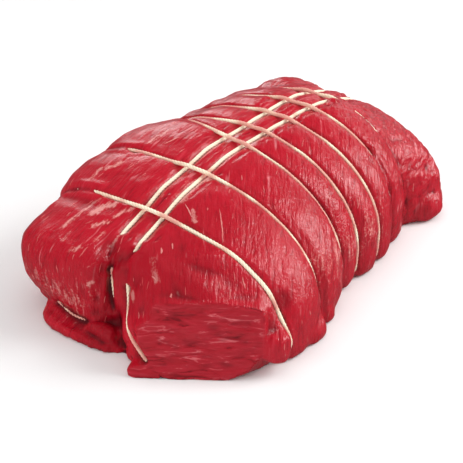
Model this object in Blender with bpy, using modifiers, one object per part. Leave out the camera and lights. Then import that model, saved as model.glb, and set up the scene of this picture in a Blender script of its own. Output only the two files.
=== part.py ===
"""A boneless beef roasting joint, tied for the oven.

One thick piece of raw beef, a quarter of a metre long, folded into two front lobes round a cleft and
trussed with cotton string: seven girth loops, two lengthwise loops over the crest, and one low loop
round the foot of the left side. The meat swells between the loops, and every string lies in the groove
that it presses. Metres, +Z up: the joint lies along Y with its cleft end towards -Y. It is worked out
about a line near its middle, then set down on Z = 0 with the origin under the middle of its box.
"""

import math

import bmesh
import bpy
from mathutils import Euler, Matrix, Vector
from mathutils.bvhtree import BVHTree
from mathutils.kdtree import KDTree

# ---------------------------------------------------------------- string and grooves
STRING_RADIUS = 0.0012
GAP = 0.00035  # air between any two pieces
PRESS_IN_GIRTH, PRESS_IN_INNER = 0.0006, 0.0020  # depth of a string's middle under the skin
CROSSING = 2 * STRING_RADIUS + GAP + 0.00045  # distance between the middles of two strings that cross
HUMP_REACH = 0.0120  # how far from a crossing the outer string starts to rise
GROOVE_ROOM = 0.0009  # room under a string on top of the gap
GROOVE_REACH = 0.0080  # the groove is looked for this near to a string
BURIED = 0.0060  # meat that lies further than this outside a string isn't pressed in, but bridges it
GROOVE_CURVE = 0.0024  # radius of a groove's round bottom
FLOOR_ROOM = 0.00005  # the lowest string stays this far above what the joint lies on

# ---------------------------------------------------------------- the trunk
# One row for each place along Y: reach of the meat to the left and to the right of X = 0, height and X of
# the crest, and squareness of the left and of the right shoulder. The girth loops lie on the inner rows.
FRONT_END = (-0.086, -0.082, 0.050, 0.056, -0.016, 3.6, 2.0)
GIRTHS = (
    (-0.048, -0.094, 0.0715, 0.0650, -0.016, 4.2, 1.95),
    (-0.008, -0.096, 0.0655, 0.0742, -0.017, 4.1, 2.00),
    (0.027, -0.092, 0.0595, 0.0795, -0.018, 2.7, 1.88),
    (0.047, -0.093, 0.0585, 0.0797, -0.013, 2.6, 1.90),
    (0.069, -0.093, 0.0600, 0.0797, -0.013, 2.4, 1.92),
    (0.090, -0.093, 0.0555, 0.0803, -0.008, 2.35, 1.95),
    (0.114, -0.088, 0.0490, 0.0772, -0.006, 2.35, 1.90),
)
BACK_END = (
    (0.138, -0.083, 0.0580, 0.0705, -0.012, 2.4, 1.78),
    (0.160, -0.078, 0.0840, 0.0650, -0.012, 2.4, 1.86),
)
ROWS = (FRONT_END, *GIRTHS, *BACK_END)
END_FULLNESS = 2.6  # how blunt the trunk's two ends are
END_SHARE = (0.08, 0.13)  # share of the length over which the front and the back end round off
WAIST = 0.30  # height of the widest place, as a share of the crest's height
FOOT_SQUARENESS = 6.0
FOOT_SINK = 0.004  # the round underside would reach this far down, and is flat instead
# The rise of the meat between two loops: on the left flank, on the crest and on the right flank.
SWELLS = (
    (0.0064, 0.0025, 0.0085),
    (0.0080, 0.0020, 0.0065),
    (0.0020, 0.0010, 0.0035),
    (0.0035, 0.0015, 0.0045),
    (0.0035, 0.0015, 0.0045),
    (0.0040, 0.0015, 0.0045),
)
SWELL_SHARPNESS = 0.55
# On the left shoulder the third loop slips back until it nearly meets the fourth.
DRIFTS = (0.0, 0.0, 0.32, 0.0, 0.0, 0.0, 0.0)
DRIFT_START, DRIFT_SPAN = -0.025, 0.048

# ---------------------------------------------------------------- the lobes and flaps at the two ends
# Middle, half size, squareness, and turn about X, Y and Z in degrees.
LOBES = {
    "left_lobe": ((-0.056, -0.066, 0.033), (0.034, 0.031, 0.027), 3.2, (12, -6, 0)),
    "left_lobe_foot": ((-0.048, -0.076, 0.018), (0.027, 0.019, 0.0135), 2.6, (0, 3, -4)),
    "right_lobe": ((0.020, -0.040, 0.020), (0.050, 0.052, 0.0415), 2.4, (0, 0, 0)),
    "right_skirt": ((0.022, -0.066, 0.011), (0.035, 0.034, 0.022), 3.6, (0, 0, 0)),
    "left_flap": ((-0.034, -0.087, 0.001), (0.034, 0.0165, 0.007), 2.6, (0, 4, 2)),
    "front_flap": ((0.0175, -0.1005, 0.000), (0.012, 0.009, 0.0060), 2.2, (0, 0, 25)),
    "right_flap": ((0.066, -0.018, 0.005), (0.012, 0.011, 0.010), 2.4, (0, 0, 0)),
    "right_flap_end": ((0.062, 0.001, 0.004), (0.010, 0.009, 0.007), 2.4, (0, 0, 0)),
    "corner_bulb": ((0.0725, -0.0535, 0.0165), (0.009, 0.009, 0.010), 2.0, (0, 0, 0)),
    "back_left_lobe": ((-0.046, 0.128, 0.040), (0.032, 0.028, 0.030), 2.4, (-6, 0, 0)),
    "tail_corner": ((0.044, 0.139, 0.008), (0.019, 0.016, 0.010), 3.0, (0, -8, 30)),
}
# The front of the right lobe was cut with a knife and slopes back above the cut: a point on both, and the
# way that each of them faces.
FRONT_POINT = (0.024, -0.090, 0.034)
FRONT_NORMALS = ((0.534, -0.795, 0.289), (0.417, -0.571, 0.707))
CUT_LOBES = ("right_lobe", "right_skirt")

# ---------------------------------------------------------------- guides of the strings that aren't girths
# Each is a closed loop: along the foot from back to front, up the front and back over the meat.
IN_A_FOLD = True  # marks a guide point that is buried between two folds of meat, and is kept as it is
GUIDES = {
    "waist_string": (
        (-0.014, 0.140, 0.000),
        (-0.014, 0.030, 0.000),
        (-0.013, -0.074, 0.000),
        (-0.013, -0.086, 0.0055, IN_A_FOLD),
        (-0.016, -0.094, 0.0085, IN_A_FOLD),
        (-0.024, -0.0945, 0.0090, IN_A_FOLD),
        (-0.034, -0.0920, 0.0090, IN_A_FOLD),
        (-0.048, -0.096, 0.0095),
        (-0.067, -0.093, 0.012),
        (-0.090, -0.070, 0.013),
        (-0.100, -0.020, 0.013),
        (-0.100, 0.050, 0.013),
        (-0.094, 0.110, 0.013),
        (-0.070, 0.145, 0.012),
        (-0.040, 0.158, 0.008),
    ),
    "long_string_left": (
        (-0.005, 0.150, 0.000),
        (-0.004, 0.040, 0.000),
        (-0.004, -0.080, 0.000),
        (-0.008, -0.092, 0.006),
        (-0.016, -0.088, 0.016),
        (-0.021, -0.086, 0.028),
        (-0.023, -0.080, 0.046),
        (-0.027, -0.060, 0.062),
        (-0.028, -0.008, 0.075),
        (-0.026, 0.050, 0.080),
        (-0.026, 0.114, 0.077),
        (-0.027, 0.150, 0.062),
        (-0.018, 0.162, 0.030),
        (-0.008, 0.160, 0.010),
    ),
    "long_string_right": (
        (0.014, 0.150, 0.000),
        (0.014, 0.040, 0.000),
        (0.018, -0.080, 0.000),
        (0.022, -0.098, 0.004),
        (0.010, -0.0965, 0.009),
        (-0.001, -0.094, 0.016),
        (-0.009, -0.090, 0.028),
        (-0.012, -0.082, 0.046),
        (-0.013, -0.060, 0.062),
        (-0.014, -0.008, 0.075),
        (-0.011, 0.050, 0.080),
        (-0.007, 0.114, 0.077),
        (-0.006, 0.150, 0.062),
        (0.004, 0.162, 0.030),
        (0.011, 0.160, 0.010),
    ),
}
SPINE = (Vector((-0.014, -0.045, 0.030)), Vector((-0.010, 0.115, 0.030)))

# ---------------------------------------------------------------- fineness
VOXEL = 0.0017  # grid on which the pieces of meat grow together
SKIN_TRIANGLES = 3200
ROUND_STEPS = 300  # places looked at in one girth
ROUTE_STEP = 0.0015  # the same for the other strings, as a distance
ROUTE_PASSES, OUT_PASSES = 6, 12  # times that a route and its ways out are evened out
ROUTE_TOLERANCE = 0.00060
LONGEST_CHORD = 0.035
FOOT_TILT = -0.75  # a way out that points down more than this is on the foot, and is taken as straight down
LEVEL_HEIGHT = 0.006  # a guide point this high or higher is dropped level, and one on the foot straight up
CAST_FROM = 0.3  # outside everything

MEAT_RED, STRING_CREAM = (0.45, 0.012, 0.025, 1.0), (0.88, 0.76, 0.55, 1.0)
MEAT_ROUGHNESS, STRING_ROUGHNESS = 0.35, 0.85


# ---------------------------------------------------------------- small tools
def clear_scene():
    for old in list(bpy.data.objects):
        bpy.data.objects.remove(old, do_unlink=True)


def new_collection(name):
    made = bpy.data.collections.new(name)
    bpy.context.scene.collection.children.link(made)
    return made


def finish_material(name, colour, roughness):
    material = bpy.data.materials.new(name)
    material.use_nodes = True
    shader = material.node_tree.nodes["Principled BSDF"]
    shader.inputs["Base Color"].default_value = colour
    shader.inputs["Roughness"].default_value = roughness
    shader.inputs["Metallic"].default_value = 0.0
    return material


def object_from(bm, name):
    mesh = bpy.data.meshes.new(name)
    bm.to_mesh(mesh)
    bm.free()
    made = bpy.data.objects.new(name, mesh)
    bpy.context.scene.collection.objects.link(made)
    return made


def bake_modifiers(obj):
    graph = bpy.context.evaluated_depsgraph_get()
    mesh = bpy.data.meshes.new_from_object(obj.evaluated_get(graph))
    obj.modifiers.clear()
    obj.data = mesh


def signed_power(value, exponent):
    return math.copysign(abs(value) ** exponent, value)


def mix(low, high, share):
    return low + (high - low) * share


# ---------------------------------------------------------------- the meat
def segment_at(y):
    """The number of the pair of rows that y lies between, and its share of the way from one to the other."""
    places = [row[0] for row in ROWS]
    for number, (low, high) in enumerate(zip(places, places[1:])):
        if y <= high:
            break
    return number, min(1.0, max(0.0, (y - low) / (high - low)))


def row_at(y):
    """The trunk's row at y, without its place: read smoothly between the given rows."""
    number, share = segment_at(y)
    return tuple(mix(low, high, share) for low, high in zip(ROWS[number][1:], ROWS[number + 1][1:]))


def slip_at(x):
    """How far to the left x lies in the band where loops slip back."""
    return min(max(0.0, DRIFT_START - x), DRIFT_SPAN)


def drift_at(x, y):
    """How far back the meat and its loops have slipped at (x, y)."""
    number, share = segment_at(y)
    drifts = (0.0, *DRIFTS, 0.0, 0.0)
    return mix(drifts[number], drifts[number + 1], share) * slip_at(x)


def swell_at(y, turn):
    """How far the meat bulges out between two loops."""
    number, share = segment_at(y)
    if not 0 < number <= len(SWELLS):
        return 0.0
    left, crest, right = SWELLS[number - 1]
    flank = right if math.cos(turn) > 0 else left
    bow = (4 * share * (1 - share)) ** SWELL_SHARPNESS
    return bow * mix(crest, flank, abs(math.cos(turn)) ** 0.7)


def trunk_point(y, turn, fullness):
    """A point of the trunk's skin, at an angle from +X about the line of its widest places."""
    left, right, crest, middle, left_square, right_square = row_at(y)
    waist = WAIST * crest
    across, up = math.cos(turn), math.sin(turn)
    square = FOOT_SQUARENESS if up < 0 else right_square if across > 0 else left_square
    reach = right - middle if across > 0 else middle - left
    rise = crest - waist if up > 0 else waist + FOOT_SINK
    out = Vector((reach * signed_power(across, 2 / square), 0, rise * signed_power(up, 2 / square)))
    out *= fullness * (1 + swell_at(y, turn) / out.length)
    x = middle + out.x
    return Vector((x, y + drift_at(x, y), waist + out.z))


def add_trunk():
    """The rolled middle of the joint: a ball drawn out along Y, its rings set to the outlines there."""
    bm = bmesh.new()
    bmesh.ops.create_uvsphere(bm, u_segments=96, v_segments=140, radius=1.0)
    front, back = ROWS[0][0], ROWS[-1][0]
    for vert in bm.verts:
        share = math.acos(max(-1.0, min(1.0, vert.co.z))) / math.pi
        end = min(share / END_SHARE[0], (1 - share) / END_SHARE[1], 1.0)
        fullness = (1 - (1 - end) ** END_FULLNESS) ** (1 / END_FULLNESS)
        turn = math.atan2(vert.co.y, vert.co.x)
        vert.co = trunk_point(mix(front, back, share), turn, fullness)
    bmesh.ops.recalc_face_normals(bm, faces=bm.faces)
    return object_from(bm, "trunk")


def slice_off(bm, point, normal):
    """Removes what lies beyond the plane, and closes the cut."""
    geometry = bm.verts[:] + bm.edges[:] + bm.faces[:]
    cut = bmesh.ops.bisect_plane(bm, geom=geometry, plane_co=point, plane_no=normal, clear_outer=True)
    rim = [edge for edge in cut["geom_cut"] if isinstance(edge, bmesh.types.BMEdge)]
    bmesh.ops.edgeloop_fill(bm, edges=rim)


def add_lobe(name):
    """A soft pillow of meat: a ball squared off by its exponent, sized, turned and set in its place."""
    middle, half, squareness, turn = LOBES[name]
    bm = bmesh.new()
    bmesh.ops.create_uvsphere(bm, u_segments=64, v_segments=48, radius=1.0)
    for vert in bm.verts:
        vert.co /= sum(abs(c) ** squareness for c in vert.co) ** (1 / squareness)
    place = Matrix.LocRotScale(Vector(middle), Euler([math.radians(a) for a in turn]), Vector(half))
    bmesh.ops.transform(bm, matrix=place, verts=bm.verts)
    if name in CUT_LOBES:
        for normal in FRONT_NORMALS:
            slice_off(bm, FRONT_POINT, normal)
    return object_from(bm, name)


def grow_together(pieces, name):
    """The pieces as one soft skin with a flat foot."""
    bpy.ops.object.select_all(action="DESELECT")
    for piece in pieces:
        piece.select_set(True)
    whole = pieces[0]
    bpy.context.view_layer.objects.active = whole
    bpy.ops.object.join()
    whole.name = whole.data.name = name
    remesh = whole.modifiers.new("one skin", "REMESH")
    remesh.mode = "VOXEL"
    remesh.voxel_size = VOXEL
    soften = whole.modifiers.new("soften", "SMOOTH")
    soften.factor = 0.5
    soften.iterations = 4
    bake_modifiers(whole)
    for vert in whole.data.vertices:
        vert.co.z = max(vert.co.z, 0.0)
    return whole


def thin_out(skin):
    """Fewer triangles where the skin is smooth, and a foot that is still flat."""
    thin = skin.modifiers.new("thin out", "DECIMATE")
    thin.ratio = SKIN_TRIANGLES / sum(len(face.vertices) - 2 for face in skin.data.polygons)
    bake_modifiers(skin)
    for vert in skin.data.vertices:
        if vert.co.z < VOXEL / 4:
            vert.co.z = 0.0


def tree_of(obj):
    corners = [vert.co.copy() for vert in obj.data.vertices]
    return BVHTree.FromPolygons(corners, [face.vertices[:] for face in obj.data.polygons])


# ---------------------------------------------------------------- routes on the skin
# A route is a list of (place, way out): the middle of the string and the direction away from the meat there.
def drop(skin, centre, direction):
    """The skin and its way out where a line that comes in from outside along -direction meets it first."""
    hit, normal = skin.ray_cast(centre + direction * CAST_FROM, -direction)[:2]
    return hit, normal


def girth_route(skin, number):
    """Once round the trunk on one girth row."""
    y, _, _, crest, middle = GIRTHS[number][:5]
    places = []
    for step in range(ROUND_STEPS):
        turn = 2 * math.pi * step / ROUND_STEPS
        direction = Vector((math.cos(turn), 0, math.sin(turn)))
        centre = Vector((middle, y, WAIST * crest))
        near = drop(skin, centre, direction)[0]
        centre.y += DRIFTS[number] * slip_at(near.x)
        places.append(drop(skin, centre, direction))
    return places


def smooth_curve(guide):
    """(point, whether it is in a fold) close together on a Catmull-Rom curve through the closed guide."""
    for step in range(len(guide)):
        before, start, end, after = (Vector(guide[(step + k) % len(guide)][:3]) for k in (-1, 0, 1, 2))
        pieces = max(2, round((end - start).length / ROUTE_STEP))
        for t in (piece / pieces for piece in range(pieces)):
            bend = (2 * before - 5 * start + 4 * end - after) * t
            turn = (3 * start - before - 3 * end + after) * t * t
            nearest = guide[(step + round(t)) % len(guide)]
            yield start + (end - before + bend + turn) * (t / 2), IN_A_FOLD in nearest[3:]


def guided_route(skin, name):
    """The curve through a guide, dropped onto the skin towards the joint's spine."""
    run = SPINE[1] - SPINE[0]
    places = []
    for near, in_a_fold in smooth_curve(GUIDES[name]):
        share = min(1.0, max(0.0, (near - SPINE[0]).dot(run) / run.length_squared))
        core = SPINE[0] + run * share
        if near.z < core.z:
            level = min(1.0, near.z / LEVEL_HEIGHT)
            core.z = mix(core.z, near.z, level * level * (3 - 2 * level))
        way_in = (near - core).normalized()
        places.append((near + way_in * PRESS_IN_INNER, way_in) if in_a_fold else drop(skin, core, way_in))
    return places


def drawn_tight(vectors, passes):
    """The closed row of vectors with its small wobbles evened out."""
    for _ in range(passes):
        around = zip(vectors[-1:] + vectors[:-1], vectors, vectors[1:] + vectors[:1])
        vectors = [before / 4 + here / 2 + after / 4 for before, here, after in around]
    return vectors


def finder(points):
    tree = KDTree(len(points))
    for number, point in enumerate(points):
        tree.insert(point, number)
    tree.balance()
    return tree


def settle(places, press, lowest, under):
    """The string's own route: pressed into the skin, humped over the strings under it, and off the floor."""
    ways_out = [out.normalized() for out in drawn_tight([out for _, out in places], OUT_PASSES)]
    points = drawn_tight([point for point, _ in places], ROUTE_PASSES)
    settled = []
    for point, out in zip(points, ways_out):
        point = point - out * press
        for route in under:
            nearest = route.find(point)[0]
            offset = point - nearest
            height = offset.dot(out)
            aside = (offset - out * height).length
            if aside < HUMP_REACH and out.z > FOOT_TILT:
                hump = 0.5 + 0.5 * math.cos(math.pi * aside / HUMP_REACH)
                point = point + out * max(0.0, CROSSING - height) * hump
        point.z = max(point.z, lowest)
        settled.append(point)
    return list(zip(drawn_tight(settled, 2), ways_out))


def press_groove(skin, route):
    """Pushes the skin in along a route, to a round-bottomed groove with room for the string."""
    depth = STRING_RADIUS + GAP + GROOVE_ROOM
    tree = finder([point for point, _ in route])
    for vert in skin.data.vertices:
        nearest, number, distance = tree.find(vert.co)
        if distance > GROOVE_REACH:
            continue
        out = Vector((0, 0, -1)) if route[number][1].z < FOOT_TILT else route[number][1]
        offset = vert.co - nearest
        height = offset.dot(out)
        aside = (offset - out * height).length
        allowed = aside**2 / (2 * GROOVE_CURVE) - depth
        if allowed < height < BURIED:
            vert.co -= out * (height - allowed)


# ---------------------------------------------------------------- strings
def crossings(route, others):
    """The numbers of the route's points that are nearest to another string, once for each crossing."""
    for other in others:
        away = [other.find(point)[2] for point, _ in route]
        around = zip(away[-1:] + away[:-1], away, away[1:] + away[:1])
        for number, (before, here, after) in enumerate(around):
            if before >= here < after and here < 1.4 * CROSSING:
                yield number


def simplified(route, others):
    """As few of the route's points as keep within the tolerance of it, among them those where strings cross."""
    count = len(route)
    kept = {0, count // 4, count // 2, 3 * count // 4, *crossings(route, others)}
    changed = True
    while changed:
        changed = False
        order = sorted(kept)
        for low, high in zip(order, order[1:] + [order[0] + count]):
            start, end = route[low][0], route[high % count][0]
            chord = end - start
            worst, where = 0.0, None
            for number in range(low + 1, high):
                offset = route[number % count][0] - start
                off = (offset - chord * (offset.dot(chord) / chord.length_squared)).length
                if off > worst:
                    worst, where = off, number % count
            if where is None or (worst <= ROUTE_TOLERANCE and chord.length <= LONGEST_CHORD):
                continue
            if worst <= ROUTE_TOLERANCE:
                where = (low + (high - low) // 2) % count
            kept.add(where)
            changed = True
    return [route[number] for number in sorted(kept)]


def string_curve(name, route, radius, collection):
    """A closed curve of string along the route."""
    curve = bpy.data.curves.new(name, "CURVE")
    curve.dimensions = "3D"
    curve.bevel_depth = radius
    curve.bevel_resolution = 2
    spline = curve.splines.new("POLY")
    spline.points.add(len(route) - 1)
    for target, (point, _) in zip(spline.points, route):
        target.co = (*point, 1)
    spline.use_cyclic_u = True
    made = bpy.data.objects.new(name, curve)
    collection.objects.link(made)
    return made


def string_cutter(name, route, collection):
    """The tube of a string and of the air round it, as a mesh that Booleans can take."""
    curve_object = string_curve(name, route, STRING_RADIUS + GAP, collection)
    bpy.context.view_layer.update()
    graph = bpy.context.evaluated_depsgraph_get()
    mesh = bpy.data.meshes.new_from_object(curve_object.evaluated_get(graph))
    bm = bmesh.new()
    bm.from_mesh(mesh)
    bmesh.ops.remove_doubles(bm, verts=bm.verts, dist=0.00001)
    bmesh.ops.recalc_face_normals(bm, faces=bm.faces)
    bm.to_mesh(mesh)
    bm.free()
    bpy.data.objects.remove(curve_object, do_unlink=True)
    cutter = bpy.data.objects.new(name, mesh)
    collection.objects.link(cutter)
    cutter.hide_render = True
    cutter.display_type = "WIRE"
    return cutter


def make_room(meat, cutter):
    cut = meat.modifiers.new("room for " + cutter.name, "BOOLEAN")
    cut.operation = "DIFFERENCE"
    cut.solver = "MANIFOLD"
    cut.object = cutter


# ---------------------------------------------------------------- the whole
def all_routes(meat):
    """The route of every string by name: the inner ones first, then the girths over them."""
    skin = tree_of(meat)
    floor = STRING_RADIUS + FLOOR_ROOM
    routes = {}
    for name in GUIDES:
        routes[name] = settle(guided_route(skin, name), PRESS_IN_INNER, floor + CROSSING, [])
    under = [finder([point for point, _ in route]) for route in routes.values()]
    for number in range(len(GIRTHS)):
        places = girth_route(skin, number)
        routes[f"girth_string_{number + 1}"] = settle(places, PRESS_IN_GIRTH, floor, under)
    return routes


def centre_of_foot(obj):
    """The point under the middle of the object's box."""
    corners = [vert.co for vert in obj.data.vertices]
    lows, highs = ([pick(corner[axis] for corner in corners) for axis in range(3)] for pick in (min, max))
    return Vector(((lows[0] + highs[0]) / 2, (lows[1] + highs[1]) / 2, lows[2]))


def main():
    clear_scene()
    beef = new_collection("tied_beef_joint")
    cutters = new_collection("string_cutters")
    meat = grow_together([add_trunk(), *(add_lobe(name) for name in LOBES)], "beef_joint")
    bpy.context.scene.collection.objects.unlink(meat)
    beef.objects.link(meat)
    routes = all_routes(meat)
    for route in routes.values():
        press_groove(meat, route)
    thin_out(meat)
    meat.data.materials.append(finish_material("raw_beef", MEAT_RED, MEAT_ROUGHNESS))
    meat.data.shade_smooth()
    cream = finish_material("cotton_string", STRING_CREAM, STRING_ROUGHNESS)
    shift = -centre_of_foot(meat)
    meat.data.transform(Matrix.Translation(shift))
    finders = {name: finder([point for point, _ in route]) for name, route in routes.items()}
    for name, route in routes.items():
        others = [found for other, found in finders.items() if other != name]
        moved = [(point + shift, out) for point, out in simplified(route, others)]
        make_room(meat, string_cutter(name + "_cutter", moved, cutters))
        string = string_curve(name, moved, STRING_RADIUS, beef)
        string.data.materials.append(cream)


main()
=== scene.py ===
"""A raw beef roasting joint, tied with butcher's string: lean red meat with a satin skin, a few fat streaks,
a knife-cut front, and twisted cotton string that bites into it. Metres, +Z up, the cleft end towards -Y.
"""

import math

import bpy
import numpy as np
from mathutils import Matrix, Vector, noise
from mathutils.bvhtree import BVHTree
from mathutils.kdtree import KDTree


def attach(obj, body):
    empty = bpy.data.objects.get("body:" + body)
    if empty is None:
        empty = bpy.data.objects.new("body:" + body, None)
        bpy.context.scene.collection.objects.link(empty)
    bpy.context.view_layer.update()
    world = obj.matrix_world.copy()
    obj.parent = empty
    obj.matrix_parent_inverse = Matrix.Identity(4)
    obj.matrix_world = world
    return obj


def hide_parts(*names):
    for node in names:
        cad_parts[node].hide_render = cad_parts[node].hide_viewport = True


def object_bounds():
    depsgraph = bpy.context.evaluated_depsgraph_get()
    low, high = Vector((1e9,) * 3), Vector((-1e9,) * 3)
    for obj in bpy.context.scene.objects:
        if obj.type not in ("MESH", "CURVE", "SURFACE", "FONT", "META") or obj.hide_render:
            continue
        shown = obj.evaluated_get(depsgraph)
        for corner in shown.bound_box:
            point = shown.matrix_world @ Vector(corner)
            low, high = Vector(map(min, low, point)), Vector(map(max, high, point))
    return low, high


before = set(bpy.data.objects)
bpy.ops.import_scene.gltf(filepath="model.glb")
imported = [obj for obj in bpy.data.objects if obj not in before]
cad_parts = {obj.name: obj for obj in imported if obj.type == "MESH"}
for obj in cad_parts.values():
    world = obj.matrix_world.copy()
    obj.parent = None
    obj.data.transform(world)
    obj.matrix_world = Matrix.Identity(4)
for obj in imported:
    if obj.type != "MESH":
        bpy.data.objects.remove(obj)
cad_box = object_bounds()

MM = 0.001

# ---------------------------------------------------------------- string, in metres
STRING_RADIUS = 1.2 * MM
TWIST_PITCH = 7.0 * MM  # one turn of the three plies
PLY_RELIEF = 0.22 * MM
STRING_STEP = 0.7 * MM
STRING_SIDES = 18

# ---------------------------------------------------------------- meat, in metres
SKIN_CELL = 1.36 * MM  # grid of the meat's skin
CORE_RADIUS = 1.9 * MM  # fills the tunnels that the strings run through
BITE_REACH = 5.2 * MM  # the skin is made new this near to a string
SWELL = 0.25 * MM  # how far the meat stands up between strings on top, and how much more on its flanks
FLANK_SWELL = 1.2 * MM
SWELL_REACH = 11.0 * MM  # from a string to where the meat stands up in full
FOOT_HEIGHT = 0.6 * MM
FLECKS = 260

# where the meat closes over a string: the string, a place and a radius in mm, and how far it closes
COVERED = (
    ("girth_string_1", (-80, -72, 50), 34, 1.0),
    ("girth_string_2", (-80, -34, 58), 27, 1.0),
    ("girth_string_3", (-68, 6, 66), 22, 1.0),
    ("girth_string_6", (57, 66, 52), 14, 1.0),
    ("girth_string_6", (68, 66, 25), 18, 0.6),
    ("girth_string_7", (14, 90, 75), 12, 1.0),
    ("girth_string_7", (52, 90, 52), 18, 1.0),
    ("long_string_left", (-13, -101, 51), 14, 1.0),
    ("long_string_left", (-9, -108, 22), 22, 0.78),
    ("long_string_right", (-1, -102, 47), 14, 1.0),
    ("long_string_right", (2, -112, 22), 16, 0.66),
    ("waist_string", (-70, -105, 8), 28, 1.0),
    ("waist_string", (-30, -119, 7), 20, 0.6),
    ("waist_string", (-3, -120, 6), 19, 1.0),
)

# creases pressed or folded into the skin: places in mm, depth, half width
CREASES = (
    (((0, -97, 56), (-3, -99, 53), (-6, -103, 50), (-10, -105, 46), (-14, -105, 43), (-17, -110, 44)), 2.6, 2.4),
    (((-14, -105, 42), (-13, -106, 38), (-13, -108, 29), (-12, -109, 20)), 3.6, 2.8),
    (((-19, -114, 45), (-17, -107, 48), (-16, -103, 50)), 0.8, 1.4),
    (((-18, -124, 7), (-11, -124, 6), (-5, -124, 4), (0, -124, 2)), 1.3, 2.0),
    (((-54, -72, 62), (-67, -73, 59), (-80, -71, 50), (-86, -70, 42)), 1.8, 3.0),
    (((-55, -33, 72), (-68, -33, 67), (-78, -33, 60)), 1.5, 3.0),
    (((47, 67, 64), (56, 68, 54), (62, 68, 44), (66, 69, 32), (67, 69, 20)), 1.6, 2.0),
    (((12, 92, 74), (20, 92, 72), (28, 93, 69)), 1.0, 2.0),
)

# soft ridges drawn up from the skin, and hollows below zero: places in mm, height, half width
RIDGES = (
    (((-66, -111, 49), (-58, -116, 50), (-45, -119, 50), (-30, -118, 49), (-21, -112, 50)), 0.5, 9.0),
    (((4, -92, 59), (4, -99, 57), (3, -104, 53)), 1.0, 4.0),
    (((78, -67, 40), (80, -68, 35), (82, -69, 29)), -1.8, 3.0),
    (((-17, -120, 9), (-11, -119, 9), (-5, -119, 8)), 3.0, 4.5),
    (((31, -125, 2), (36, -124, 3), (41, -122, 2)), 3.4, 4.5),
)

# spots where the CAD surface is pinched, made even: place and radius in mm
PINCHED = (((-11, -110, 9), 9), ((36, -124, 4), 10))

# patches of fat seen through the skin: places in mm, full width in mm, how pale
PATCHES = (
    (((-41, -89, 62), (-39, -82, 63), (-35, -78, 64)), 5.4, 0.85),
    (((-33, -98, 60), (-30, -94, 61), (-27, -91, 61)), 4.4, 0.7),
    (((-50, -106, 56), (-49, -94, 59), (-48, -81, 61), (-44, -72, 63)), 3.4, 0.68),
    (((-42, -114, 55), (-43, -107, 57)), 2.6, 0.65),
    (((-17, -103, 54), (-16, -97, 57), (-17, -88, 58)), 2.2, 0.65),
    (((-34, -118, 53), (-29, -114, 55)), 3.6, 0.6),
    (((-27, -86, 62), (-25, -80, 63), (-23, -75, 64)), 3.0, 0.75),
    (((-25, -106, 57), (-25, -98, 59)), 2.2, 0.6),
    (((-62, -67, 65), (-63, -59, 68), (-55, -53, 71), (-54, -49, 72)), 3.6, 0.75),
    (((-52, -24, 76), (-50, -12, 78), (-52, 1, 77)), 3.6, 0.7),
    (((-1, -57, 70), (-2, -49, 72), (-2, -42, 73), (0, -34, 74)), 7.5, 0.9),
    (((13, -63, 69), (15, -66, 68), (18, -69, 67)), 3.0, 0.95),
    (((13, -99, 55), (15, -101, 53), (17, -103, 51), (21, -106, 48)), 4.0, 0.95),
    (((6, -111, 36), (8, -111, 34)), 4.4, 1.0),
    (((34, -104, 44), (38, -105, 39)), 2.4, 0.8),
    (((-20, -119, 36), (-18, -118, 38)), 2.6, 0.8),
    (((-21, -118, 47), (-18, -114, 49), (-18, -108, 52)), 1.8, 0.8),
    (((60, 96, 52), (64, 98, 44), (66, 101, 36)), 5.0, 0.7),
    (((-62, -112, 34), (-48, -119, 26), (-30, -121, 22)), 26.0, 0.42),
    (((80, -30, 40), (80, 0, 36), (76, 40, 32)), 30.0, 0.42),
)

# streaks of fat: places in mm, full width in mm, how pale
FAT = (
    (((-42, -22, 76), (-37, -13, 78)), 1.4, 0.5),
    (((5, -61, 70), (10, -64, 69), (15, -67, 67)), 1.0, 0.6),
    (((24, -54, 71), (32, -62, 66), (39, -70, 61)), 0.9, 0.5),
    (((12, -92, 59), (15, -95, 57)), 1.5, 0.5),
    (((15, -86, 60), (18, -89, 58)), 1.4, 0.5),
    (((30, -106, 43), (32, -108, 41)), 1.4, 0.5),
    (((17, -105, 49), (21, -106, 48)), 1.2, 0.5),
)

# where the lean is painted darker: a deeper red on the front lobe and near the top, and painted shade in the cleft, its
# creases, under the left flap and in the hollow behind the first string: place and radius in mm, and how deep
DARKER_RED_AND_PAINTED_SHADE = (
    ((20, -102, 50), 42, 0.42),
    ((-14, -104, 46), 20, 0.5),
    ((-8, -104, 49), 11, 0.8),
    ((-10, -112, 12), 18, 0.75),
    ((-8, -124, 5), 22, 0.7),
    ((10, -70, 68), 26, 0.2),
    ((79, -69, 39), 9, 0.9),
)

# the knife-cut face
FACE_POINT = (34.7, -114.9, 34.0)
FACE_NORMAL = (0.534, -0.795, 0.289)
FACE_ENDS = (-25.0, 50.0)  # along the face, left and right of its point
FACE_TOP = 39.0


# ---------------------------------------------------------------- small tools
def in_metres(*millimetres):
    return Vector(millimetres) * MM


def smooth_step(low, high, value):
    share = np.clip((value - low) / (high - low), 0.0, 1.0)
    return share * share * (3 - 2 * share)


def select_only(obj):
    bpy.ops.object.select_all(action="DESELECT")
    obj.select_set(True)
    bpy.context.view_layer.objects.active = obj


def apply_modifier(obj, kind, **settings):
    select_only(obj)
    modifier = obj.modifiers.new(kind.lower(), kind)
    for name, value in settings.items():
        setattr(modifier, name, value)
    bpy.ops.object.modifier_apply(modifier=modifier.name)


def places_of(mesh):
    flat = np.empty(len(mesh.vertices) * 3, np.float32)
    mesh.vertices.foreach_get("co", flat)
    return flat.reshape(-1, 3).astype(np.float64)


def set_places(mesh, places):
    mesh.vertices.foreach_set("co", np.asarray(places, np.float32).ravel())
    mesh.update()


def normals_of(mesh):
    flat = np.empty(len(mesh.vertices) * 3, np.float32)
    mesh.vertex_normals.foreach_get("vector", flat)
    return flat.reshape(-1, 3).astype(np.float64)


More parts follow.
